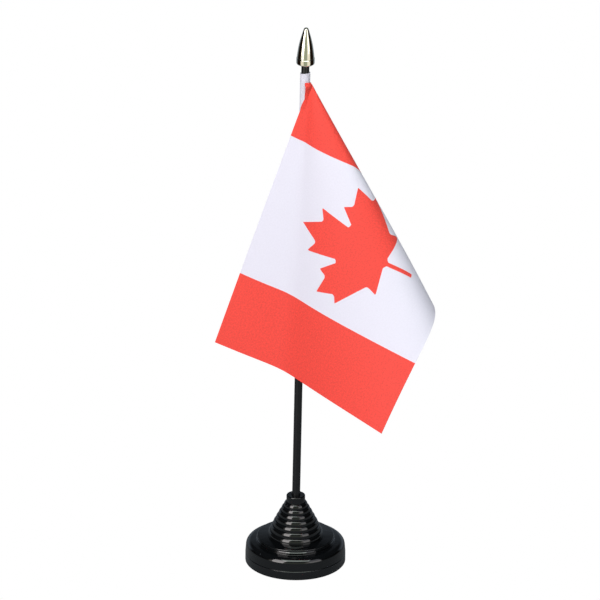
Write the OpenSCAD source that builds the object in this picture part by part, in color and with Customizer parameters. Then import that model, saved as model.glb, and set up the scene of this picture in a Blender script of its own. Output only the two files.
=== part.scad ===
// Desk flag stand: a weighted round base with a ringed cone, a rod that stands loose in its
// socket, a pointed cap, and a small flag whose sleeve runs on the rod and whose fly hangs down.
// Millimetres, +Z up. The origin is the centre of the base's underside.

/* [Base] */
// Diameter of the base at the table
base_d = 50; // [44:0.5:70]
// Height of the bottom cover, up to the seam
cover_h = 4.6; // [4:0.1:6]
// Height of the shell's straight rim above the seam
rim_h = 4.1; // [3:0.1:6]
// Inward draft of the straight rim
rim_draft = 0.5; // [0:0.1:0.8]
// Radius of the rounded shoulder above the rim
shoulder_r = 2.2; // [1:0.1:2.5]
// Diameter of the raised deck inside the shoulder
deck_d = 38.4; // [36:0.2:40]
// Height of the raised deck above the shoulder
deck_h = 2.7; // [1.5:0.1:4]
// Width of the small bead round the deck's wall
bead_w = 0.35; // [0.2:0.05:0.6]
// Wall thickness of the moulded shell and cover
wall = 1.8; // [1.2:0.1:2.2]

/* [Cone] */
// Number of rings on the cone
ring_count = 7; // [4:1:9]
// Height of the lowest ring
ring_h = 2.86; // [2:0.02:3.2]
// How much lower each ring is than the one below
ring_taper = 0.085; // [0:0.005:0.1]
// Diameter of the lowest ring at its foot
cone_d = 27.8; // [24:0.2:30]
// Rounding of the neck's top edge
neck_round = 0.55; // [0.2:0.05:0.8]
// Diameter of the neck above the rings
neck_d = 9.35; // [8.4:0.05:10]
// Height of the neck
neck_h = 3.6; // [2:0.1:6]

/* [Ballast] */
// Diameter of the steel disc inside the base
ballast_d = 40; // [30:0.5:41]
// Thickness of the steel disc
ballast_h = 4; // [2:0.1:5]

/* [Rod] */
// Diameter of the rod
rod_d = 4; // [3:0.1:4.4]
// Length of the rod
rod_len = 267.5; // [240:0.5:320]
// Lean of the rod in its loose socket, in degrees
rod_lean = 0.7; // [0:0.1:0.9]
// Depth of the socket in the base
socket_depth = 23.5; // [18:0.5:25]
// Radial clearance of the rod in the socket
socket_gap = 0.25; // [0.22:0.01:0.35]

/* [Cap] */
// Largest diameter of the pointed cap
cap_d = 9.15; // [7:0.05:11]
// Height of the cap's collar, up to its groove
collar_h = 3.4; // [2:0.1:5]
// Height of the cap's point above the groove
point_h = 16.1; // [12:0.1:22]
// Radius of the cap's rounded tip
tip_r = 1.35; // [0.8:0.05:1.8]
// Depth of rod inside the cap
cap_grip = 8; // [5:0.5:12]

/* [Flag] */
// Length of the flag along its top edge
flag_len = 146; // [110:1:160]
// Height of the flag along its sleeve
flag_h = 105; // [75:1:110]
// Thickness of the cloth
cloth_t = 0.3; // [0.2:0.05:0.5]
// Distance of the flag's top corner below the cap
flag_drop = 9.5; // [8:0.5:20]
// Length of sleeve above the flag's top corner
sleeve_over = 5; // [2:0.1:7]
// Radial clearance between the rod and the sleeve
sleeve_gap = 0.35; // [0.1:0.05:0.6]
// Clearance between the sleeve and the cloth
cloth_gap = 0.3; // [0.1:0.05:0.6]
// Angle round the rod where the cloth leaves the sleeve, in degrees
seam_turn = -25; // [-90:1:0]
// Spacing of the stitches along the seam
stitch_pitch = 2.6; // [2:0.1:5]
// Diameter of the sewing thread
thread_d = 0.3; // [0.2:0.05:0.4]

/* [Hidden] */
$fn = 96;
fit_gap = 0.1;      // radial gap of the cover's spigot in the shell
seam_cut = 0.22;    // chamfer on both sides of the base's seam
cut_over = 1;       // how far a cutting solid runs past a face
rest_gap = 0.05;    // gap under the rod's tilted foot

// Heights and radii of the base, all built up from the table
base_r = base_d / 2;
rim_top = cover_h + rim_h;
shoulder_x = base_r - rim_draft - shoulder_r;   // centre of the shoulder's arc
shoulder_z = rim_top + shoulder_r;              // level of the lower ledge
deck_r = deck_d / 2;
deck_z = shoulder_z + deck_h;
deck_rise = 0.3;                                // the deck and ledge fall outwards a little
cone_z = deck_z + deck_rise;
cone_r = cone_d / 2;
neck_r = neck_d / 2;
function ring_size(i) = ring_h - ring_taper * i;
function ring_foot(i) = cone_z + i * ring_h - ring_taper * i * (i - 1) / 2;
cone_top = ring_foot(ring_count);
neck_top = cone_top + neck_h;
ring_step = (cone_r - neck_r) / ring_count;
function ring_r(i) = cone_r - i * ring_step;    // radius at a ring's foot
rod_r = rod_d / 2;
socket_r = rod_r + socket_gap;
socket_floor = neck_top - socket_depth;
boss_r = socket_r + wall;
boss_foot = socket_floor - wall;
spigot_r = base_r - wall - fit_gap;
spigot_top = rim_top - 0.6;
roof_z = shoulder_z - wall;                     // underside of the ledge

// Where things sit along the rod, measured from its foot
cap_s = rod_len - cap_grip;
corner_s = cap_s - flag_drop;
sleeve_in = rod_r + sleeve_gap;
sleeve_out = sleeve_in + cloth_t;
cloth_r = sleeve_out + cloth_gap + cloth_t / 2; // nearest the cloth's middle comes to the axis
corner_at = [cloth_r * cos(seam_turn), cloth_r * sin(seam_turn), corner_s];

// The cloth hangs as a cone about its top corner. heading() steps a unit direction over the
// quarter turn from the sleeve edge to the top edge, curving by bend() as it goes.
start_heading = -8;         // direction in which the cloth leaves the sleeve, degrees from +X
step_deg = 0.5;
steps = 90 / step_deg;
function bump(a, size, at, spread) = size * exp(-pow((a - at) / spread, 2) / 2);
function bend(a) = 1.2 + bump(a, -2.1, 0.5, 2.8)    // turn at the seam
                 + bump(a, 10.3, 37.4, 5)           // the big roll at the side
                 + bump(a, -5.6, 75.5, 2.3);        // the soft crease in front
function unit(v) = v / norm(v);
function turned(d, t, a, h) = unit(t + (bend(a) * cross(d, t) - d) * h);
function square_to(t, d) = unit(t - d * (t * d));
function mid_of(s, a, h) = let (d = unit(s[0] + s[1] * h / 2), t = turned(s[0], s[1], a, h / 2))
    [d, square_to(t, d)];
function next_of(s, a, h) = let (m = mid_of(s, a, h), d = unit(s[0] + m[1] * h),
    t = unit(s[1] + (bend(a + step_deg / 2) * cross(m[0], m[1]) - m[0]) * h))
    [d, square_to(t, d)];
heading = [for (i = 0, s = [[0, 0, -1], [cos(start_heading), sin(start_heading), 0]];
    i <= steps; s = next_of(s, i * step_deg, step_deg * PI / 180), i = i + 1) s[0]];
function along(a) = let (f = min(max(a / step_deg, 0), steps - 0.001), i = floor(f))
    heading[i] * (1 - f + i) + heading[i + 1] * (f - i);

// Slack of the cloth: a slow shift along three directions, right, down and away, of a plane
// that leans back. u and v run along the fly and down the sleeve.
slack_len = 150;
slack_h = 100;
tilt = 24.8;                // how far the plane leans back from upright, degrees
slack_right = [1, 0, 0];
slack_down = [0, -sin(tilt), -cos(tilt)];
slack_away = [0, cos(tilt), -sin(tilt)];
function slack(u, v) = let (top = u * (1 - u) * exp(-4 * v), w = 1 - v)
    slack_right * (v * (3.2 * u - 6.8 * u * u + 6.9 * pow(u, 3) + 3.1 * u * v - 10.5 * u * u * v)
        - w * (1.2 * u + 0.9 * u * u) - 1.3 * top)
    + slack_down * (v * (-5.1 * u - 10.4 * u * u + 6.9 * pow(u, 3) + 7.4 * u * v + 0.7 * u * u * v)
        + w * (2.2 * u * u - 0.4 * u) + 0.4 * top)
    + slack_away * (v * (1.1 * u + 0.7 * u * u + 0.1 * pow(u, 3) - 4.1 * u * v - 4.9 * u * u * v)
        - 4.4 * w * u - 1.8 * top);
corner_soft = 3;            // the cone's point is rounded off within about this radius
function clear_of_rod(p) = let (r = norm([p[0], p[1]]), k = max(1, cloth_r / max(r, 0.01)))
    [p[0] * k, p[1] * k, p[2]];
// Point of the cloth's middle layer, x from the sleeve edge and y down from the top edge
function cloth_at(x, y) = let (r = norm([x, y]), a0 = atan2(x, y),
    a = 45 + (a0 - 45) * (1 - exp(-pow(r / corner_soft, 2))), d = along(a),
    s = slack(x / slack_len, y / slack_h))
    clear_of_rod(corner_at + r * d + s);
function cloth_normal(x, y) = let (e = 0.4)
    unit(cross(cloth_at(x + e, y) - cloth_at(x, y), cloth_at(x, y + e) - cloth_at(x, y)));

across = 34;                // panels along the fly
down = 22;                  // panels along the sleeve
hoist_x = 0.2;              // the cloth starts this far from the seam's line

// Rounded quarter or part circle as a list of points
function arc(cx, cy, r, a0, a1, n = 8) = [for (i = [0:n]) let (a = a0 + (a1 - a0) * i / n)
    [cx + r * cos(a), cy + r * sin(a)]];

// A ring bulges out as a quarter of an ellipse, from its upright foot in to the next ring's foot
function ring_outline(i) = [for (t = [0:15:90])
    [ring_r(i + 1) + 0.12 + (ring_step - 0.12) * cos(t), ring_foot(i) + ring_size(i) * sin(t)]];

shell_outline = concat(
    [[0, cover_h], [base_r - seam_cut, cover_h], [base_r, cover_h + seam_cut]],
    arc(shoulder_x, rim_top, shoulder_r, 0, 85),
    [[deck_r + bead_w, shoulder_z + deck_rise], [deck_r + bead_w, shoulder_z + deck_h / 2],
     [deck_r, shoulder_z + deck_h / 2 + bead_w]],
    arc(deck_r - bead_w, deck_z - bead_w, bead_w, 0, 85, 4),
    [for (i = [0:ring_count - 1], p = ring_outline(i)) p],
    [[neck_r, cone_top]],
    arc(neck_r - neck_round, neck_top - neck_round, neck_round, 0, 90, 6),
    [[0, neck_top]]);

cavity_outline = [[0, cover_h - cut_over], [base_r - wall, cover_h - cut_over],
    [base_r - wall, rim_top], [deck_r, roof_z], [deck_r - wall, deck_z - wall],
    [cone_r - wall, deck_z - wall], [boss_r, cone_top - wall * 3], [boss_r, boss_foot],
    [0, boss_foot]];

module base_shell() {
    color("#141417") difference() {
        rotate_extrude() polygon(shell_outline);
        rotate_extrude() polygon(cavity_outline);
        translate([0, 0, socket_floor]) cylinder(r = socket_r, h = socket_depth + cut_over);
        translate([0, 0, neck_top - socket_gap])
            cylinder(r1 = socket_r, r2 = socket_r + socket_gap * 2, h = socket_gap * 2);
    }
}

module base_cover() {
    color("#18181b") difference() {
        union() {
            rotate_extrude() polygon([[0, 0], [base_r - seam_cut, 0], [base_r, seam_cut],
                [base_r, cover_h - seam_cut], [base_r - seam_cut, cover_h], [0, cover_h]]);
            cylinder(r = spigot_r, h = spigot_top);
        }
        translate([0, 0, wall]) cylinder(r = spigot_r - wall, h = spigot_top);
    }
}

module ballast_disc() {
    color("#8a8d90") translate([0, 0, wall]) cylinder(d = ballast_d, h = ballast_h);
}

// Carries its children from the rod's own frame into the leaning rod's place
module on_rod() {
    translate([-sin(rod_lean) * socket_depth / 2, 0, socket_floor + rest_gap])
        rotate([0, rod_lean, 0]) children();
}

module rod() {
    color("#1d1d20") on_rod() {
        cylinder(r1 = rod_r - 0.3, r2 = rod_r, h = 0.4);
        translate([0, 0, 0.4]) cylinder(r = rod_r, h = rod_len - 0.4);
    }
}

module cap() {
    cap_r = cap_d / 2;
    point_r = cap_r - 0.2;
    tip_z = collar_h + point_h - tip_r;
    lean = atan2(point_r - tip_r, tip_z - collar_h);
    color("#d9dccf") on_rod() translate([0, 0, cap_s]) difference() {
        rotate_extrude() polygon(concat(
            [[0, 0], [cap_r - 0.9, 0]],
            arc(cap_r - 0.9, 0.9, 0.9, -75, 0, 5),
            [[cap_r, collar_h - 0.5], [cap_r - 0.3, collar_h - 0.1], [point_r - 0.15, collar_h]],
            [for (t = [0:0.2:0.8]) [point_r + (tip_r - point_r) * t + 0.45 * sin(180 * t),
                collar_h + 0.1 + (tip_z - collar_h) * t]],
            arc(0, tip_z, tip_r, lean, 90)));
        translate([0, 0, -cut_over]) cylinder(r = rod_r, h = cap_grip + cut_over);
    }
}

module flag_sleeve() {
    color("#e9e9f2") on_rod() translate([0, 0, corner_s - flag_h]) difference() {
        cylinder(r = sleeve_out, h = flag_h + sleeve_over);
        translate([0, 0, -cut_over]) cylinder(r = sleeve_in, h = flag_h + sleeve_over + 2 * cut_over);
    }
}

module flag_cloth() {
    nx = across + 1;
    ny = down + 1;
    flat = [for (i = [0:across], j = [0:down])
        [hoist_x + (flag_len - hoist_x) * i / across, flag_h * j / down]];
    face = [for (s = [1, -1], p = flat) cloth_at(p[0], p[1]) + cloth_normal(p[0], p[1]) * s * cloth_t / 2];
    n = nx * ny;
    function id(i, j, s) = s * n + i * ny + j;
    quads = [for (i = [0:across - 1], j = [0:down - 1], s = [0, 1])
        s == 0 ? [id(i, j, 0), id(i, j + 1, 0), id(i + 1, j + 1, 0), id(i + 1, j, 0)]
               : [id(i, j, 1), id(i + 1, j, 1), id(i + 1, j + 1, 1), id(i, j + 1, 1)]];
    rims = concat(
        [for (j = [0:down - 1]) [id(0, j, 0), id(0, j, 1), id(0, j + 1, 1), id(0, j + 1, 0)]],
        [for (j = [0:down - 1]) [id(across, j, 0), id(across, j + 1, 0), id(across, j + 1, 1),
            id(across, j, 1)]],
        [for (i = [0:across - 1]) [id(i, 0, 0), id(i + 1, 0, 0), id(i + 1, 0, 1), id(i, 0, 1)]],
        [for (i = [0:across - 1]) [id(i, down, 0), id(i, down, 1), id(i + 1, down, 1),
            id(i + 1, down, 0)]]);
    color("#e8463c") on_rod() polyhedron(face, [for (q = concat(quads, rims), k = [1, 2])
        [q[0], q[k], q[k + 1]]], 4);
}

module seam_thread() {
    stitch_x = 2.5;
    stitch_len = stitch_pitch * 0.7;
    count = floor((flag_h - 16) / stitch_pitch);
    off = cloth_t / 2 + thread_d / 2 + 0.03;
    color("#f2f2f5") on_rod() for (k = [0:count], s = [1, -1]) {
        y = 10 + k * stitch_pitch + (s < 0 ? stitch_pitch / 2 : 0);
        p = cloth_at(stitch_x, y) + cloth_normal(stitch_x, y) * off * s;
        translate(p - [0, 0, stitch_len / 2]) cylinder(d = thread_d, h = stitch_len);
    }
}

base_shell();
base_cover();
ballast_disc();
rod();
cap();
flag_sleeve();
flag_cloth();
seam_thread();
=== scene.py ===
import math

import bpy
import numpy as np
from mathutils import Matrix, Vector


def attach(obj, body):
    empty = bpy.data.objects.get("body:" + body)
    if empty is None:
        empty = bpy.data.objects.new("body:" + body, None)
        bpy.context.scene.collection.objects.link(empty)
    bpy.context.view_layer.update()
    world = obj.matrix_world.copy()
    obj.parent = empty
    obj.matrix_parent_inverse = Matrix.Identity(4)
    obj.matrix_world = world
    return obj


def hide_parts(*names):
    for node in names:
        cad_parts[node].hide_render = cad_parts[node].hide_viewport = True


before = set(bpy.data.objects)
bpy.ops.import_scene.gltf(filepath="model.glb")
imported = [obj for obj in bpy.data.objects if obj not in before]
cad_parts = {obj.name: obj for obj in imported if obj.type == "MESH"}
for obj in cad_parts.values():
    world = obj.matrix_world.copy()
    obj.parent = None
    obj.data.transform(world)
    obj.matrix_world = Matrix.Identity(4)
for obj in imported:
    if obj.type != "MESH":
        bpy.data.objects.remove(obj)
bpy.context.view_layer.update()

mm = 0.001
scene = bpy.context.scene
scene.view_settings.view_transform = "Standard"
scene.view_settings.look = "None"


def linearColour(hexText):
    channels = [int(hexText[i:i + 2], 16) / 255 for i in (1, 3, 5)]
    return tuple(c / 12.92 if c <= 0.04045 else ((c + 0.055) / 1.055) ** 2.4 for c in channels) + (1.0,)


# Adds one shader node. inputs holds socket: value, or socket: (node, output) for a link.
def addNode(tree, kind, inputs=None, **settings):
    node = tree.nodes.new("ShaderNode" + kind)
    for key, value in settings.items():
        setattr(node, key, value)
    for key, value in (inputs or {}).items():
        if isinstance(value, tuple) and hasattr(value[0], "outputs"):
            tree.links.new(value[0].outputs[value[1]], node.inputs[key])
        else:
            node.inputs[key].default_value = value
    return node


def newMaterial(name):
    material = bpy.data.materials.new(name)
    material.use_nodes = True
    material.node_tree.nodes.clear()
    return material, material.node_tree


# Makes a mesh object from a vertex array and index arrays of quads and triangles
def makePiece(name, verts, quads, tris=None, attributes=None, uv=None, sharp=None):
    faces = quads.tolist() + ([] if tris is None else tris.tolist())
    mesh = bpy.data.meshes.new(name)
    mesh.from_pydata((verts * mm).tolist(), [], faces)
    for key, values in (attributes or {}).items():
        kind = "FLOAT_VECTOR" if values.ndim == 2 else "FLOAT"
        layer = mesh.attributes.new(key, kind, "POINT")
        layer.data.foreach_set("vector" if values.ndim == 2 else "value", values.astype(np.float32).ravel())
    if uv is not None:
        corners = np.empty(len(mesh.loops), dtype=np.int32)
        mesh.loops.foreach_get("vertex_index", corners)
        mesh.uv_layers.new(name="cutCloth").data.foreach_set("uv", uv[corners].astype(np.float32).ravel())
    mesh.shade_smooth()
    if sharp:
        mesh.set_sharp_from_angle(angle=math.radians(sharp))
    piece = bpy.data.objects.new(name, mesh)
    scene.collection.objects.link(piece)
    return piece


def dress(piece, material):
    piece.data.materials.clear()
    piece.data.materials.append(material)


# A profile with rounded corners: each corner is (r, z, radius). Straight runs are divided, with
# a point close to both ends so that the shading of a flat face stays flat.
def roundedProfile(corners, run=1.2):
    points = [np.array([corners[0][:2]], dtype=float)]
    for before, here, after in zip(corners, corners[1:], corners[2:]):
        p, q, s = (np.array(c[:2], dtype=float) for c in (before, here, after))
        a, b = (p - q) / np.linalg.norm(p - q), (s - q) / np.linalg.norm(s - q)
        half = math.acos(np.clip(a @ b, -1, 1)) / 2
        if here[2] <= 0 or half > 1.55:
            points.append(q[None])
            continue
        reach = min(here[2] / math.tan(half), 0.48 * np.linalg.norm(p - q), 0.48 * np.linalg.norm(s - q))
        radius = reach * math.tan(half)
        centre = q + (a + b) / np.linalg.norm(a + b) * radius / math.sin(half)
        u, v = q + a * reach - centre, q + b * reach - centre
        t = np.linspace(0, 1, max(4, int((math.pi - 2 * half) / 0.2) + 2))[:, None]
        whole = math.pi - 2 * half
        arc = (np.sin((1 - t) * whole) * u + np.sin(t * whole) * v) / math.sin(whole)
        points.append(centre + arc)
    points.append(np.array([corners[-1][:2]], dtype=float))
    line = np.concatenate(points)
    out = [line[:1]]
    for p, q in zip(line[:-1], line[1:]):
        length = np.linalg.norm(q - p)
        if length < 1e-6:
            continue
        t = np.arange(1, int(length / run) + 1) / (int(length / run) + 1)
        if length > 0.5:
            t = np.unique(np.concatenate([t, [0.06 / length, 1 - 0.06 / length]]))
        out.append(np.concatenate([p + (q - p) * t[:, None], q[None]]))
    return np.concatenate(out)


# Turns a profile about its own Z axis: x = r cos(a), y = r sin(a). Both ends lie on the axis, so
# each closes in one pole. place carries the points from the piece's own space to its place.
def turnedPiece(name, profile, place=None, turns=160, sharp=None):
    r, z = profile[1:-1, 0], profile[1:-1, 1]
    a = np.linspace(0, 2 * math.pi, turns, endpoint=False)
    ring = np.stack([r[:, None] * np.cos(a), r[:, None] * np.sin(a), z[:, None] + 0 * a], -1)
    own = np.concatenate([ring.reshape(-1, 3), [[0, 0, profile[0, 1]], [0, 0, profile[-1, 1]]]])
    rows = len(r)
    i, j = np.meshgrid(np.arange(rows - 1), np.arange(turns), indexing="ij")
    k = (j + 1) % turns
    here, above = i * turns, (i + 1) * turns
    quads = np.stack([here + j, above + j, above + k, here + k], -1).reshape(-1, 4)
    j = np.arange(turns)
    k = (j + 1) % turns
    first, last = rows * turns, rows * turns + 1
    tris = np.concatenate([np.stack([0 * j + first, j, k], -1),
                           np.stack([0 * j + last, (rows - 1) * turns + k, (rows - 1) * turns + j], -1)])
    a, b, c, d = (own[quads[:, corner]] for corner in range(4))
    volume = np.sum(np.cross(b - a, c - a) * a) + np.sum(np.cross(c - a, d - a) * a)
    if volume < 0:  # the faces point inwards
        quads, tris = quads[:, ::-1], tris[:, ::-1]
    verts = own if place is None else place(own)
    return makePiece(name, verts, quads, tris, attributes={"turnedSpace": own * mm}, sharp=sharp)


# Camera

print("camera")
view = {"elevation": 24.8, "roll": 0.47, "right": 2.35, "up": 129.5, "distance": 12500.0, "lens": 1500.0}


def makeCamera():
    e, roll = math.radians(view["elevation"]), math.radians(view["roll"])
    back = Vector((0, -math.cos(e), math.sin(e)))
    level = Vector((1, 0, 0))
    upright = Vector((0, math.sin(e), math.cos(e)))
    right = level * math.cos(roll) + upright * math.sin(roll)
    up = upright * math.cos(roll) - level * math.sin(roll)
    data = bpy.data.cameras.new("camera")
    data.lens, data.sensor_width = view["lens"], 36
    data.clip_start, data.clip_end = 1, 60
    camera = bpy.data.objects.new("camera", data)
    scene.collection.objects.link(camera)
    turn = Matrix((right, up, back)).transposed().to_4x4()
    place = right * view["right"] + up * view["up"] + back * view["distance"]
    camera.matrix_world = Matrix.Translation(place * mm) @ turn
    scene.camera = camera


makeCamera()

# Sizes shared by several pieces, in millimetres

base = {"radius": 25.0, "seam": 4.6, "rimTop": 8.7, "ledge": 10.9, "deckRadius": 19.2, "deck": 13.6,
        "coneFoot": 13.9, "coneRadius": 13.9, "neckRadius": 4.675, "rings": 7, "ringHeight": 2.86,
        "ringTaper": 0.085, "neckHeight": 3.6, "wall": 1.8, "draft": 0.5, "shoulder": 2.7, "bead": 0.35,
        "seamCut": 0.22, "spigotGap": 0.1, "spigotDrop": 0.6, "neckRound": 0.5, "ringStand": 0.12}
ringFeet = [base["coneFoot"] + i * base["ringHeight"] - base["ringTaper"] * i * (i - 1) / 2
            for i in range(base["rings"] + 1)]
neckTop = ringFeet[-1] + base["neckHeight"]
rodSizes = {"radius": 2.0, "length": 267.5, "lean": 0.7, "socket": 23.5,
            "socketGap": 0.25, "capGrip": 8.0}
socketFloor = neckTop - rodSizes["socket"]
lean = math.radians(rodSizes["lean"])
rodFoot = np.array([-math.sin(lean) * rodSizes["socket"] / 2, 0, socketFloor + 0.05])
capFoot = rodSizes["length"] - rodSizes["capGrip"]


# From the rod's own upright space into its leaning place
def onRod(p, lift=0.0):
    x, y, z = p[..., 0], p[..., 1], p[..., 2] + lift
    c, s = math.cos(lean), math.sin(lean)
    return np.stack([x * c + z * s, y, z * c - x * s], -1) + rodFoot


# Materials

# ABS, injection-moulded in a polished mould: deep black with clear reflections, a faint
# waviness from shrinkage, hairline rubs and a little dust
def polishedAbs(name, dark, light, roughLow, roughHigh, wave, dust):
    material, tree = newMaterial(name)
    coord = addNode(tree, "TexCoord")
    at = (coord, "Object")
    tone = addNode(tree, "TexNoise", {"Vector": at, "Scale": 1000 / 6.0, "Detail": 3.0})
    speck = addNode(tree, "TexVoronoi", {"Vector": at, "Scale": 1000 / 3.4, "Randomness": 1.0})
    speckMask = addNode(tree, "MapRange", {"Value": (speck, "Distance"), "From Min": dust,
                                           "From Max": dust * 0.55})
    thin = addNode(tree, "TexNoise", {"Vector": at, "Scale": 1000 / 14.0})
    thinMask = addNode(tree, "MapRange", {"Value": (thin, 0), "From Min": 0.52, "From Max": 0.62})
    dusty = addNode(tree, "Math", {0: (speckMask, 0), 1: (thinMask, 0)}, operation="MULTIPLY")
    body = addNode(tree, "Mix", {"Factor": (tone, 0), 6: linearColour(dark), 7: linearColour(light)},
                   data_type="RGBA")
    colour = addNode(tree, "Mix", {"Factor": (dusty, 0), 6: (body, 2), 7: linearColour("#6b6f76")},
                     data_type="RGBA")
    smear = addNode(tree, "TexNoise", {"Vector": at, "Scale": 1000 / 9.0, "Detail": 5.0, "Roughness": 0.6})
    rubAt = addNode(tree, "Mapping", {"Vector": at, "Scale": (1000 / 0.5, 1000 / 0.5, 1000 / 14.0),
                                      "Rotation": (0.9, 0.5, 0.3)})
    rub = addNode(tree, "TexNoise", {"Vector": (rubAt, 0), "Detail": 2.0})
    rubMask = addNode(tree, "MapRange", {"Value": (rub, 0), "From Min": 0.64, "From Max": 0.72,
                                         "To Max": 0.12})
    rough = addNode(tree, "MapRange", {"Value": (smear, 0), "From Min": 0.35, "From Max": 0.7,
                                       "To Min": roughLow, "To Max": roughHigh})
    rubbed = addNode(tree, "Math", {0: (rough, 0), 1: (rubMask, 0)}, operation="ADD")
    roughAll = addNode(tree, "Mix", {"Factor": (dusty, 0), 2: (rubbed, 0), 3: 0.7})
    sink = addNode(tree, "TexNoise", {"Vector": at, "Scale": 1000 / 5.0, "Detail": 1.0})
    peel = addNode(tree, "TexNoise", {"Vector": at, "Scale": 1000 / 0.8, "Detail": 1.0})
    height = addNode(tree, "Math", {0: (peel, 0), 1: 0.12, 2: (sink, 0)}, operation="MULTIPLY_ADD")
    bump = addNode(tree, "Bump", {"Height": (height, 0), "Distance": wave * mm, "Strength": 1.0})
    shader = addNode(tree, "BsdfPrincipled", {"Base Color": (colour, 2), "Roughness": (roughAll, 0),
                                              "IOR": 1.6, "Normal": (bump, 0)})
    addNode(tree, "OutputMaterial", {"Surface": (shader, 0)})
    return material


# Rod extruded in black plastic: satin, with fine die lines along its length
def extrudedRod():
    material, tree = newMaterial("extrudedBlackRod")
    own = addNode(tree, "Attribute", attribute_name="turnedSpace")
    lines = addNode(tree, "Mapping", {"Vector": (own, "Vector"),
                                      "Scale": (1000 / 0.35, 1000 / 0.35, 1000 / 60.0)})
    die = addNode(tree, "TexNoise", {"Vector": (lines, 0), "Detail": 2.0})
    mottle = addNode(tree, "TexNoise", {"Vector": (own, "Vector"), "Scale": 1000 / 2.2, "Detail": 3.0})
    colour = addNode(tree, "Mix", {"Factor": (mottle, 0), 6: linearColour("#09090b"),
                                   7: linearColour("#121315")}, data_type="RGBA")
    rough = addNode(tree, "MapRange", {"Value": (die, 0), "To Min": 0.26, "To Max": 0.4})
    bump = addNode(tree, "Bump", {"Height": (die, 0), "Distance": 0.012 * mm, "Strength": 1.0})
    shader = addNode(tree, "BsdfPrincipled", {"Base Color": (colour, 2), "Roughness": (rough, 0), "IOR": 1.52,
                                              "Normal": (bump, 0)})
    addNode(tree, "OutputMaterial", {"Surface": (shader, 0)})
    return material


# Chrome plated on moulded plastic: a mirror with a warm tint, slightly uneven where the plating
# follows the moulding
def platedChrome():
    material, tree = newMaterial("platedChrome")
    own = addNode(tree, "Attribute", attribute_name="turnedSpace")
    tone = addNode(tree, "TexNoise", {"Vector": (own, "Vector"), "Scale": 1000 / 3.0, "Detail": 3.0})
    colour = addNode(tree, "Mix", {"Factor": (tone, 0), 6: linearColour("#ded9c4"),
                                   7: linearColour("#f2eede")}, data_type="RGBA")
    uneven = addNode(tree, "TexNoise", {"Vector": (own, "Vector"), "Scale": 1000 / 1.6, "Detail": 2.0})
    rough = addNode(tree, "MapRange", {"Value": (tone, 0), "To Min": 0.05, "To Max": 0.12})
    bump = addNode(tree, "Bump", {"Height": (uneven, 0), "Distance": 0.03 * mm, "Strength": 1.0})
    shader = addNode(tree, "BsdfPrincipled", {"Base Color": (colour, 2), "Metallic": 1.0,
                                              "Roughness": (rough, 0), "Normal": (bump, 0)})
    addNode(tree, "OutputMaterial", {"Surface": (shader, 0)})
    return material


# Steel punched from sheet and zinc-plated: dull grey with spangle and rolling marks
def zincSteel():
    material, tree = newMaterial("zincPlatedSteel")
    coord = addNode(tree, "TexCoord")
    spangle = addNode(tree, "TexVoronoi", {"Vector": (coord, "Object"), "Scale": 1000 / 1.5})
    rolled = addNode(tree, "Mapping", {"Vector": (coord, "Object"),
                                       "Scale": (1000 / 12.0, 1000 / 0.3, 1000 / 0.3)})
    marks = addNode(tree, "TexNoise", {"Vector": (rolled, 0), "Detail": 3.0})
    colour = addNode(tree, "Mix", {"Factor": (spangle, "Distance"), 6: linearColour("#9aa0a6"),
                                   7: linearColour("#b9bdc2")}, data_type="RGBA")
    rough = addNode(tree, "MapRange", {"Value": (marks, 0), "To Min": 0.3, "To Max": 0.5})
    bump = addNode(tree, "Bump", {"Height": (marks, 0), "Distance": 0.01 * mm, "Strength": 1.0})
    shader = addNode(tree, "BsdfPrincipled", {"Base Color": (colour, 2), "Metallic": 1.0,
                                              "Roughness": (rough, 0), "Normal": (bump, 0)})
    addNode(tree, "OutputMaterial", {"Surface": (shader, 0)})
    return material


weave = {"pitch": 0.62, "depth": 0.05, "slubLength": 5.0, "slubWidth": 0.7}


# Height of a plain weave on the cloth's flat coordinates in metres: threads pass over and under
# in a checkerboard. A real thread is about 0.25 mm, drawn coarser here so that it shows.
def weaveHeight(tree, flat):
    parts = addNode(tree, "SeparateXYZ", {"Vector": flat})
    ways = []
    for axis in (0, 1):
        count = addNode(tree, "Math", {0: (parts, axis), 1: 1 / (weave["pitch"] * mm)}, operation="MULTIPLY")
        part = addNode(tree, "Math", {0: (count, 0)}, operation="FRACT")
        cell = addNode(tree, "Math", {0: (count, 0)}, operation="FLOOR")
        half = addNode(tree, "Math", {0: (part, 0), 1: math.pi}, operation="MULTIPLY")
        ways.append((cell, addNode(tree, "Math", {0: (half, 0)}, operation="SINE")))
    total = addNode(tree, "Math", {0: (ways[0][0], 0), 1: (ways[1][0], 0)}, operation="ADD")
    odd = addNode(tree, "Math", {0: (total, 0), 1: 2.0}, operation="FLOORED_MODULO")
    return addNode(tree, "Mix", {"Factor": (odd, 0), 2: (ways[0][1], 0), 3: (ways[1][1], 0)})


# Thicker and thinner yarns along both directions of the cloth
def slubTone(tree, flat):
    tones = []
    for scale in ((1000 / weave["slubLength"], 1000 / weave["slubWidth"], 1),
                  (1000 / weave["slubWidth"], 1000 / weave["slubLength"], 1)):
        along = addNode(tree, "Mapping", {"Vector": flat, "Scale": scale})
        tones.append(addNode(tree, "TexNoise", {"Vector": (along, 0), "Detail": 2.0}))
    return addNode(tree, "Math", {0: (tones[0], 0), 1: (tones[1], 0)}, operation="ADD")


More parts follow.
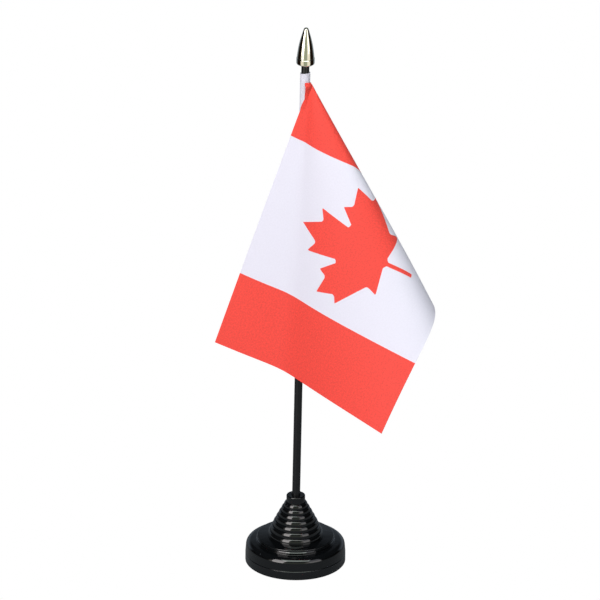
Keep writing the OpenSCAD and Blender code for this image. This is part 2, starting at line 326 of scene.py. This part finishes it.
# Woven polyester, sublimation-printed: matt cloth with a soft sheen, light passes through it, and
# the print's edge follows the yarns
def printedPolyester(name, printed):
    material, tree = newMaterial(name)
    uv = addNode(tree, "UVMap", uv_map="cutCloth")
    flat = (uv, 0)
    height = weaveHeight(tree, flat)
    slub = slubTone(tree, flat)
    grain = addNode(tree, "TexNoise", {"Vector": flat, "Scale": 1000 / 0.9, "Detail": 2.0})
    mixed = addNode(tree, "Math", {0: (slub, 0), 1: (grain, 0)}, operation="ADD")
    shade = addNode(tree, "MapRange", {"Value": (mixed, 0), "From Min": 1.1, "From Max": 1.9,
                                       "To Min": 0.96, "To Max": 1.02})
    dyed = addNode(tree, "MapRange", {"Value": (mixed, 0), "From Min": 1.1, "From Max": 1.9,
                                      "To Min": 0.8, "To Max": 1.12})
    white = linearColour("#edeaf6")
    if printed:
        edge = addNode(tree, "Attribute", attribute_name="inkEdge")
        creep = addNode(tree, "MapRange", {"Value": (grain, 0), "To Min": -0.12, "To Max": 0.12})
        shifted = addNode(tree, "Math", {0: (edge, "Fac"), 1: (creep, 0)}, operation="ADD")
        ink = addNode(tree, "MapRange", {"Value": (shifted, 0), "From Min": -0.08, "From Max": 0.08})
        inked = addNode(tree, "Mix", {"Factor": (ink, 0), 6: white, 7: linearColour("#fb493c")},
                        data_type="RGBA")
        colour = (inked, 2)
        shade = addNode(tree, "Mix", {"Factor": (ink, 0), 2: (shade, 0), 3: (dyed, 0)})
    else:
        colour = white
    toned = addNode(tree, "VectorMath", {0: colour[:3] if isinstance(colour[0], float) else colour,
                                         "Scale": (shade, 0)}, operation="SCALE")
    bump = addNode(tree, "Bump", {"Height": (height, 0), "Distance": weave["depth"] * mm, "Strength": 0.5})
    front = addNode(tree, "BsdfPrincipled", {"Base Color": (toned, 0), "Roughness": 0.62, "IOR": 1.5,
                                             "Sheen Weight": 0.15, "Sheen Roughness": 0.5,
                                             "Normal": (bump, 0)})
    through = addNode(tree, "BsdfTranslucent", {"Color": (toned, 0), "Normal": (bump, 0)})
    both = addNode(tree, "MixShader", {0: 0.22, 1: (front, 0), 2: (through, 0)})
    addNode(tree, "OutputMaterial", {"Surface": (both, 0)})
    return material


# Spun polyester sewing thread: off-white, with the twist of its plies
def sewingThread():
    material, tree = newMaterial("polyesterThread")
    coord = addNode(tree, "TexCoord")
    twist = addNode(tree, "TexNoise", {"Vector": (coord, "Object"), "Scale": 1000 / 0.25, "Detail": 2.0})
    colour = addNode(tree, "Mix", {"Factor": (twist, 0), 6: linearColour("#c9c9d0"),
                                   7: linearColour("#f6f6fa")}, data_type="RGBA")
    bump = addNode(tree, "Bump", {"Height": (twist, 0), "Distance": 0.03 * mm, "Strength": 0.8})
    shader = addNode(tree, "BsdfPrincipled", {"Base Color": (colour, 2), "Roughness": 0.6,
                                              "Sheen Weight": 0.2, "Normal": (bump, 0)})
    addNode(tree, "OutputMaterial", {"Surface": (shader, 0)})
    return material


glossBlack = polishedAbs("glossBlackAbs", "#060708", "#0a0b0d", 0.05, 0.1, 0.03, 0.045)
coverBlack = polishedAbs("satinBlackAbs", "#08090b", "#0e0f12", 0.12, 0.2, 0.025, 0.045)

# Base shell: a hollow moulding. Its profile runs from the socket over the rings to the seam, and back
# along the inside.

print("base")


def shellProfile():
    s = base
    radius, wall, cut = s["radius"], s["wall"], s["seamCut"]
    gap = rodSizes["socketGap"]
    socket = rodSizes["radius"] + gap
    corners = [(0, socketFloor, 0), (socket, socketFloor, 0.2), (socket, neckTop - 0.3, 0.12),
               (socket + gap, neckTop, 0.12), (s["neckRadius"], neckTop, s["neckRound"]),
               (s["neckRadius"], ringFeet[-1], 0)]
    step = (s["coneRadius"] - s["neckRadius"]) / s["rings"]
    for i in reversed(range(s["rings"])):  # each ring is a quarter of an ellipse, seen from its top down
        inner = s["coneRadius"] - (i + 1) * step + s["ringStand"]
        for t in np.radians(np.linspace(90, 0, 13)):
            corners.append((inner + (step - s["ringStand"]) * math.cos(t),
                            ringFeet[i] + (ringFeet[i + 1] - ringFeet[i]) * math.sin(t), 0))
    edge, ledge, bead = s["deckRadius"], s["ledge"], s["bead"]
    middle = (ledge + s["deck"]) / 2
    corners += [(edge, s["deck"], bead), (edge, middle + 0.4, 0.12), (edge + bead, middle, 0.12),
                (edge + bead, ledge + 0.3, 0.2), (radius - s["draft"], ledge, s["shoulder"]),
                (radius, s["seam"] + cut, 0.1), (radius - cut, s["seam"], 0.1),
                (radius - wall, s["seam"], 0), (radius - wall, s["rimTop"], 0.5),
                (edge, ledge - wall, 0.5), (edge - wall, s["deck"] - wall, 0.5),
                (s["coneRadius"] - wall, s["deck"] - wall, 0.5),
                (socket + wall, ringFeet[-1] - 3 * wall, 0.5), (socket + wall, socketFloor - wall, 0.3),
                (0, socketFloor - wall, 0)]
    return roundedProfile(corners)


shell = turnedPiece("shellMoulding", shellProfile(), turns=144, sharp=40)
dress(shell, glossBlack)
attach(shell, "base")
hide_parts("base_shell")


# Bottom cover: a tray whose spigot reaches up into the shell
def coverProfile():
    s = base
    radius, seam, wall, cut = s["radius"], s["seam"], s["wall"], s["seamCut"]
    spigot = radius - wall - s["spigotGap"]
    spigotTop = s["rimTop"] - s["spigotDrop"]
    return roundedProfile([
        (0, 0, 0), (radius - cut, 0, 0.1), (radius, cut, 0.1), (radius, seam - cut, 0.1),
        (radius - cut, seam, 0.1), (spigot, seam, 0.1), (spigot, spigotTop, 0.3),
        (spigot - wall, spigotTop, 0.3), (spigot - wall, wall, 0.4), (0, wall, 0)])


cover = turnedPiece("coverMoulding", coverProfile(), turns=144, sharp=40)
dress(cover, coverBlack)
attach(cover, "base")
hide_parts("base_cover")

dress(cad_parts["ballast_disc"], zincSteel())  # hidden inside, kept as the CAD has it

# Rod and cap

print("rod and cap")
rodR = rodSizes["radius"]
rodProfile = [(0, 0, 0), (rodR - 0.3, 0, 0.1), (rodR, 0.4, 0.2), (rodR, rodSizes["length"], 0.2),
              (0, rodSizes["length"], 0)]
rod = turnedPiece("flagRod", roundedProfile(rodProfile, run=4.0), place=onRod, turns=64, sharp=50)
dress(rod, extrudedRod())
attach(rod, "rod")
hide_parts("rod")

capSizes = {"radius": 4.575, "collar": 3.4, "point": 16.1, "tip": 1.35, "groove": 0.3, "foot": 0.7,
            "swell": 0.45}


# Pointed cap: collar, fine groove and a slightly swelling point over a blind hole for the rod
def capProfile():
    s = capSizes
    shoulder, tipAt = s["radius"] - 0.2, s["collar"] + s["point"] - s["tip"]
    corners = [(0, rodSizes["capGrip"], 0), (rodR, rodSizes["capGrip"], 0), (rodR, 0, 0.1),
               (s["radius"], 0, s["foot"]), (s["radius"], s["collar"] - 0.35, 0.12),
               (s["radius"] - s["groove"], s["collar"] - 0.1, 0.06),
               (shoulder - 0.12, s["collar"] + 0.02, 0.06)]
    for t in np.linspace(0.01, 1, 24):  # the point's side swells a little between collar and tip
        corners.append((shoulder + (s["tip"] - shoulder) * t + s["swell"] * math.sin(math.pi * t),
                        s["collar"] + 0.1 + (tipAt - s["collar"]) * t, 0))
    for t in np.radians(np.linspace(18, 84, 10)):
        corners.append((s["tip"] * math.cos(t), tipAt + s["tip"] * math.sin(t), 0))
    corners.append((0, tipAt + s["tip"], 0))
    return roundedProfile(corners)


cap = turnedPiece("spearCap", capProfile(), place=lambda p: onRod(p, capFoot), turns=96, sharp=50)
dress(cap, platedChrome())
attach(cap, "rod")
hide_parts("cap")

# The hanging cloth, in the rod's own space

print("cloth")
flag = {"length": 146.0, "height": 105.0, "thickness": 0.22, "drop": 9.5, "seamTurn": -25.0, "reach": 3.1,
        "startHeading": -8.0, "hoist": -3.5, "hoistRise": 0.1, "riseFade": 6.0, "cornerSoft": 3.0,
        "slackLength": 150.0, "slackHeight": 100.0, "leanBack": 24.8, "columns": 206, "rows": 148}
cornerUp = capFoot - flag["drop"]
seamTurn = math.radians(flag["seamTurn"])
flagCorner = np.array([flag["reach"] * math.cos(seamTurn), flag["reach"] * math.sin(seamTurn), cornerUp])


# A bell curve: size * exp(-((a - at) / spread)^2 / 2)
def swelling(a, size, at, spread):
    return size * math.exp(-((a - at) / spread) ** 2 / 2)


# How strongly the cloth curves at each angle from the sleeve edge: at the seam, in the big roll
# at the side and the other way in the soft crease in front
def bend(a):
    return 1.2 + swelling(a, -2.1, 0.5, 2.8) + swelling(a, 10.3, 37.4, 5) + swelling(a, -5.6, 75.5, 2.3)


# The cloth is a cone about its top corner: a unit direction steps over the quarter turn from the
# sleeve edge to the top edge, and its sideways turning is the bend.
def clothHeadings(step=0.5):
    def unit(v):
        return v / np.linalg.norm(v)
    h = math.radians(step)
    start = math.radians(flag["startHeading"])
    d, t = np.array([0.0, 0.0, -1.0]), np.array([math.cos(start), math.sin(start), 0.0])
    found = [d]
    for i in range(int(90 / step)):
        midD = unit(d + t * h / 2)
        midT = unit(t + (bend(i * step) * np.cross(d, t) - d) * h / 2)
        midT = unit(midT - midD * (midT @ midD))
        d, t = unit(d + midT * h), t + (bend((i + 0.5) * step) * np.cross(midD, midT) - midD) * h
        t = unit(t - d * (t @ d))
        found.append(d)
    return np.array(found), step


headings, headingStep = clothHeadings()
leanBack = math.radians(flag["leanBack"])  # the slack is given in a plane that leans back this far
slackWays = np.array([[1, 0, 0], [0, -math.sin(leanBack), -math.cos(leanBack)],
                      [0, math.cos(leanBack), -math.sin(leanBack)]])


# Middle layer of the cloth at x along the fly and y down the sleeve: corner + distance times the
# direction for that angle, plus a slow slack shift right, down and away. The narrow strip before
# the corner, x below 0, lies round the sleeve and rises a little at its top.
def clothAt(x, y):
    wrapped, x = np.minimum(x, 0), np.maximum(x, 0)
    r, angle = np.hypot(x, y), np.degrees(np.arctan2(x, y))
    angle = 45 + (angle - 45) * (1 - np.exp(-(r / flag["cornerSoft"]) ** 2))
    f = np.clip(angle / headingStep, 0, len(headings) - 1.001)
    i = f.astype(int)
    w = (f - i)[..., None]
    direction = headings[i] * (1 - w) + headings[i + 1] * w
    u, v = x / flag["slackLength"], y / flag["slackHeight"]
    over, top = 1 - v, u * (1 - u) * np.exp(-4 * v)
    right = (v * (3.2 * u - 6.8 * u ** 2 + 6.9 * u ** 3 + 3.1 * u * v - 10.5 * u ** 2 * v)
             - over * (1.2 * u + 0.9 * u ** 2) - 1.3 * top)
    down = (v * (-5.1 * u - 10.4 * u ** 2 + 6.9 * u ** 3 + 7.4 * u * v + 0.7 * u ** 2 * v)
            + over * (2.2 * u ** 2 - 0.4 * u) + 0.4 * top)
    away = (v * (1.1 * u + 0.7 * u ** 2 + 0.1 * u ** 3 - 4.1 * u * v - 4.9 * u ** 2 * v)
            - 4.4 * over * u - 1.8 * top)
    p = flagCorner + r[..., None] * direction + np.stack([right, down, away], -1) @ slackWays
    near = np.maximum(1, flag["reach"] / np.maximum(np.hypot(p[..., 0], p[..., 1]), 0.01))
    p = p * np.stack([near, near, np.ones_like(near)], -1)
    turn = wrapped / flag["reach"]
    return np.stack([p[..., 0] * np.cos(turn) - p[..., 1] * np.sin(turn),
                     p[..., 0] * np.sin(turn) + p[..., 1] * np.cos(turn),
                     p[..., 2] - flag["hoistRise"] * wrapped * np.exp(-y / flag["riseFade"])], -1)


# The cloth's upright: cross product of its two slopes, each taken over a short step
def clothNormal(x, y, e=0.3):
    n = np.cross(clothAt(x + e, y) - clothAt(x, y), clothAt(x, y + e) - clothAt(x, y))
    return n / np.linalg.norm(n, axis=-1, keepdims=True)


# Leaf outline, own drawing in millimetres: distance from its middle line, and down the sleeve
leaf = {"middle": 68.7,
        "half": [(0, 22), (5.5, 32.2), (6.9, 32.6), (12.3, 29.6), (9, 46.1), (10.8, 47), (17.7, 39.9),
                 (19.5, 43.7), (20.7, 44.3), (29.6, 42.5), (26.5, 51.5), (27.1, 52.7), (30.5, 54.3),
                 (15.1, 66.2), (14.8, 67.3), (16.7, 72.3), (2.6, 70), (1, 71.2), (1, 85)]}
bands = {"hoistEnd": 30.1, "flyStart": 107.3}


# Distance in millimetres from the print's edge, positive where the cloth is red: the larger of
# the two bands' and the leaf's own. The leaf's is the shortest way to any side of its outline,
# with the sign from how many sides a line along the fly meets beyond the point.
def inkDistance(x, y):
    half = np.array(leaf["half"])
    outline = np.concatenate([half, half[::-1] * [-1, 1]]) + [leaf["middle"], 0]
    p, q = outline, np.roll(outline, -1, axis=0)
    nearest, crossings = np.full(x.shape, 1e9), np.zeros(x.shape, dtype=int)
    for (ax, ay), (bx, by) in zip(p, q):
        side = (bx - ax) ** 2 + (by - ay) ** 2
        if side < 1e-9:
            continue
        t = np.clip(((x - ax) * (bx - ax) + (y - ay) * (by - ay)) / side, 0, 1)
        nearest = np.minimum(nearest, np.hypot(x - ax - t * (bx - ax), y - ay - t * (by - ay)))
        spans = (ay > y) != (by > y)
        crossings += spans & (x < (bx - ax) * (y - ay) / (by - ay + 1e-12 * (by == ay)) + ax)
    inLeaf = np.where(crossings % 2 == 1, nearest, -nearest)
    return np.maximum(inLeaf, np.maximum(bands["hoistEnd"] - x, x - bands["flyStart"]))


# Closed sheet from a grid of points: both faces stand half a thickness off the middle layer
def closedSheet(points, normals, thickness, across, wrap=False):
    rows, columns = points.shape[:2]
    faces = [points + normals * thickness / 2, points - normals * thickness / 2]
    verts = np.concatenate([f.reshape(-1, 3) for f in faces])
    n = rows * columns
    last = columns if wrap else columns - 1
    i, j = np.meshgrid(np.arange(rows - 1), np.arange(last), indexing="ij")
    k = (j + 1) % columns
    here, below = i * columns, (i + 1) * columns
    a, b, c, d = (q.ravel() for q in (here + j, below + j, below + k, here + k))
    quads = [np.stack([a, b, c, d], -1), np.stack([a, d, c, b], -1) + n]
    j = np.arange(last)
    k = (j + 1) % columns
    top, bottom = j, (rows - 1) * columns + j
    quads.append(np.stack([top, k, k + n, top + n], -1))
    quads.append(np.stack([bottom, bottom + n, (rows - 1) * columns + k + n, (rows - 1) * columns + k], -1))
    if not wrap:
        i = np.arange(rows - 1) * columns
        quads.append(np.stack([i, i + n, i + columns + n, i + columns], -1))
        i = i + columns - 1
        quads.append(np.stack([i, i + columns, i + columns + n, i + n], -1))
    quads = np.concatenate(quads)
    return verts, quads if across else quads[:, ::-1]


def makeFlag():
    s = flag
    x = s["hoist"] + (s["length"] - s["hoist"]) * np.linspace(0, 1, s["columns"])[:, None]
    y = s["height"] * np.linspace(0, 1, s["rows"])[None, :]
    x, y = np.broadcast_arrays(x, y)
    verts, quads = closedSheet(clothAt(x, y), clothNormal(x, y), s["thickness"], True)
    flatAt = np.tile(np.stack([x, y], -1).reshape(-1, 2), (2, 1))
    ink = np.tile(inkDistance(x, y).ravel(), 2)
    piece = makePiece("flagCloth", onRod(verts), quads, attributes={"inkEdge": ink}, uv=flatAt * mm, sharp=60)
    dress(piece, printedPolyester("printedPolyester", True))
    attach(piece, "flag")
    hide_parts("flag_cloth")


makeFlag()

# Sleeve: the white hem that runs on the rod

sleeveSizes = {"inner": 2.22, "outer": 2.6, "over": 5.0, "wave": 0.07, "slant": 0.5}


# Tube with slow dents: radius = middle + wave * sin(3 angle + height / 9 mm), and a slanted top
def makeSleeve():
    s = sleeveSizes
    a = np.linspace(0, 2 * math.pi, 73)[None, :-1]
    t = np.linspace(0, 1, 130)[:, None]
    length = flag["height"] + s["over"]
    z = cornerUp - flag["height"] + t * (length - s["slant"] * (1 + np.cos(a - 2.2)) * t ** 40)
    r = (s["inner"] + s["outer"]) / 2 + s["wave"] * np.sin(3 * a + z / 9) * np.sin(math.pi * t) ** 0.3
    a = a + 0 * t
    outward = np.stack([np.cos(a), np.sin(a), 0 * a], -1)
    points = outward * r[..., None] + np.stack([0 * z, 0 * z, z], -1)
    verts, quads = closedSheet(points, outward, s["outer"] - s["inner"] - 2 * s["wave"], False, wrap=True)
    flatAt = np.tile(np.stack([2.4 * a, z], -1).reshape(-1, 2), (2, 1))
    piece = makePiece("rodSleeve", onRod(verts), quads, uv=flatAt * mm, sharp=60)
    dress(piece, printedPolyester("whitePolyester", False))
    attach(piece, "sleeve")
    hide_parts("flag_sleeve")


makeSleeve()

stitches = {"pitch": 2.6, "share": 0.7, "from": 10.0, "in": 2.5, "thread": 0.13}


# Lock stitches on both faces: each is a short tube that rises out of the cloth and dips back,
# centre = cloth + normal * (thickness / 2 + rise), rise following half a sine
def makeStitches():
    s = stitches
    count = int((flag["height"] - 16) / s["pitch"]) + 1
    side = np.repeat([1.0, -1.0], count)
    shift = s["pitch"] * (s["share"] + 0.5 * (side < 0) - 0.5) / 2  # the back's stitches lie between
    start = s["from"] + np.tile(np.arange(count), 2) * s["pitch"] - shift
    t = np.linspace(0, 1, 9)[None, :]
    y = start[:, None] + s["pitch"] * s["share"] * t
    x = np.full_like(y, s["in"])
    normal = clothNormal(x, y) * side[:, None, None]
    rise = flag["thickness"] / 2 - 0.02 + s["thread"] * np.sin(math.pi * t) ** 0.6
    centre = clothAt(x, y) + normal * rise[..., None]
    along = np.gradient(centre, axis=1)
    along /= np.linalg.norm(along, axis=-1, keepdims=True)
    cross = np.cross(along, normal)
    a = np.linspace(0, 2 * math.pi, 9)[:-1]
    radius = s["thread"] * np.clip(np.sin(math.pi * (0.04 + 0.92 * t)), 0, 1) ** 0.35
    outward = normal[:, :, None] * np.cos(a)[:, None] + cross[:, :, None] * np.sin(a)[:, None]
    rings = centre[:, :, None] + outward * radius[:, :, None, None]
    verts = np.concatenate([rings.reshape(-1, 3), centre[:, 0], centre[:, -1]])
    n, m, k = len(side), t.shape[1], len(a)
    q, i, j = np.meshgrid(np.arange(n), np.arange(m - 1), np.arange(k), indexing="ij")
    nxt, row = (j + 1) % k, q * m * k + i * k
    quads = np.stack([row + j, row + nxt, row + k + nxt, row + k + j], -1).reshape(-1, 4)
    q, j = np.meshgrid(np.arange(n), np.arange(k), indexing="ij")
    nxt, end = (j + 1) % k, q * m * k + (m - 1) * k
    tris = np.concatenate([np.stack([n * m * k + q, q * m * k + nxt, q * m * k + j], -1).reshape(-1, 3),
                           np.stack([n * m * k + n + q, end + j, end + nxt], -1).reshape(-1, 3)])
    piece = makePiece("seamStitches", onRod(verts), quads, tris)
    dress(piece, sewingThread())
    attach(piece, "flag")
    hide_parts("seam_thread")


makeStitches()

# Studio: pale floor, softboxes and the room that shiny parts mirror

print("studio")
room = {"ambient": 0.34, "front": "#a5ad9c", "cards": "#fffaf0", "sides": "#1a120c", "behind": "#8f9aa6",
        "ceiling": "#25282b", "floorReach": 30.0, "floorLevel": -0.0002}


# What shiny parts see round the stand, by the angle away from straight ahead: a pale green wall in
# front, a bright card on each side of it, dark curtains further round and a bluish wall behind
def roundabout(tree, sideways, ahead):
    angle = addNode(tree, "Math", {0: sideways, 1: ahead}, operation="ARCTAN2")
    away = addNode(tree, "Math", {0: (angle, 0)}, operation="ABSOLUTE")
    colour = linearColour(room["front"])
    for start, end, name in ((20, 26, "cards"), (57, 64, "sides"), (118, 130, "behind")):
        turn = addNode(tree, "MapRange", {"Value": (away, 0), "From Min": math.radians(start),
                                          "From Max": math.radians(end)})
        colour = (addNode(tree, "Mix", {"Factor": (turn, 0), 6: colour, 7: linearColour(room[name])},
                          data_type="RGBA"), 2)
    return colour


# The floor is no lamp, yet it glows. Camera rays see plain white emission. Glossy rays more than 0.3 to 0.42
# m from the stand see the room's colours as emission, a painted reflection. Elsewhere it is grey diffuse
# paper.
def makeFloor():
    reachOut, level = room["floorReach"], room["floorLevel"]
    corners = [(x * reachOut, y * reachOut, level) for x, y in ((-1, -1), (1, -1), (1, 1), (-1, 1))]
    mesh = bpy.data.meshes.new("studioFloor")
    mesh.from_pydata(corners, [], [(0, 1, 2, 3)])
    floor = bpy.data.objects.new("studioFloor", mesh)
    scene.collection.objects.link(floor)
    material, tree = newMaterial("paperFloorWithRoomGlow")
    coord = addNode(tree, "TexCoord")
    fibre = addNode(tree, "TexNoise", {"Vector": (coord, "Object"), "Scale": 1000 / 2.0, "Detail": 2.0})
    tint = addNode(tree, "Mix", {"Factor": (fibre, 0), 6: linearColour("#74777b"),
                                 7: linearColour("#7c7f83")}, data_type="RGBA")
    near = addNode(tree, "BsdfDiffuse", {"Color": (tint, 2)})
    parts = addNode(tree, "SeparateXYZ", {"Vector": (coord, "Object")})
    ahead = addNode(tree, "Math", {0: (parts, 1), 1: -1.0}, operation="MULTIPLY")
    # Painted reflection: the room's colours glow from the far floor, seen only by glossy rays
    cards = addNode(tree, "Emission", {"Color": roundabout(tree, (parts, 0), (ahead, 0)), "Strength": 1.0})
    reach = addNode(tree, "VectorMath", {0: (coord, "Object")}, operation="LENGTH")
    far = addNode(tree, "MapRange", {"Value": (reach, "Value"), "From Min": 0.3, "From Max": 0.42})
    seen = addNode(tree, "LightPath")
    mirrored = addNode(tree, "Math", {0: (far, 0), 1: (seen, "Is Glossy Ray")}, operation="MULTIPLY")
    paperAndRoomGlow = addNode(tree, "MixShader", {0: (mirrored, 0), 1: (near, 0), 2: (cards, 0)})
    bright = addNode(tree, "Emission", {"Color": (1, 1, 1, 1), "Strength": 1.0})
    mix = addNode(tree, "MixShader", {0: (seen, "Is Camera Ray"), 1: (paperAndRoomGlow, 0), 2: (bright, 0)})
    addNode(tree, "OutputMaterial", {"Surface": (mix, 0)})
    dress(floor, material)


def makeWorld():
    world = bpy.data.worlds.new("studio")
    scene.world = world
    world.use_nodes = True
    tree = world.node_tree
    tree.nodes.clear()
    coord = addNode(tree, "TexCoord")
    parts = addNode(tree, "SeparateXYZ", {"Vector": (coord, "Generated")})
    ahead = addNode(tree, "Math", {0: (parts, 1), 1: -1.0}, operation="MULTIPLY")
    low = roundabout(tree, (parts, 0), (ahead, 0))
    high = addNode(tree, "MapRange", {"Value": (parts, 2), "From Min": 0.3, "From Max": 0.5})
    mirrored = addNode(tree, "Mix", {"Factor": (high, 0), 6: low, 7: linearColour(room["ceiling"])},
                       data_type="RGBA")
    seen = addNode(tree, "LightPath")
    ambient = (room["ambient"], room["ambient"], room["ambient"] * 1.04, 1)
    first = addNode(tree, "Mix", {"Factor": (seen, "Is Glossy Ray"), 6: ambient, 7: (mirrored, 2)},
                    data_type="RGBA")
    second = addNode(tree, "Mix", {"Factor": (seen, "Is Camera Ray"), 6: (first, 2), 7: (1, 1, 1, 1)},
                     data_type="RGBA")
    sky = addNode(tree, "Background", {"Color": (second, 2)})
    addNode(tree, "OutputWorld", {"Surface": (sky, 0)})


# Softboxes by the direction they stand in, degrees round from the front and up; glow is the
# brightness of their face
softboxes = [
    {"name": "leftBox", "round": -40, "up": 22, "away": 1.3, "size": (0.66, 1.45), "glow": 4.4,
     "tint": "#fffafa"},
    {"name": "topBox", "round": 3, "up": 58, "away": 1.25, "size": (1.15, 0.8), "glow": 3.2,
     "tint": "#f2fff6"},
    {"name": "rightBox", "round": 46, "up": 22, "away": 1.4, "size": (0.75, 1.4), "glow": 1.0,
     "tint": "#f6f6ff"},
]


def makeSoftbox(spec):
    a, e = math.radians(spec["round"]), math.radians(spec["up"])
    way = Vector((math.sin(a) * math.cos(e), -math.cos(a) * math.cos(e), math.sin(e)))
    data = bpy.data.lights.new(spec["name"], "AREA")
    data.shape = "RECTANGLE"
    data.size, data.size_y = spec["size"]
    data.color = linearColour(spec["tint"])[:3]
    data.energy = spec["glow"] * math.pi * data.size * data.size_y
    lamp = bpy.data.objects.new(spec["name"], data)
    scene.collection.objects.link(lamp)
    lamp.location = Vector((0, 0, 0.13)) + way * spec["away"]
    lamp.rotation_euler = way.to_track_quat("Z", "Y").to_euler()
    lamp.visible_camera = False


makeFloor()
makeWorld()
for box in softboxes:
    makeSoftbox(box)

print("done")
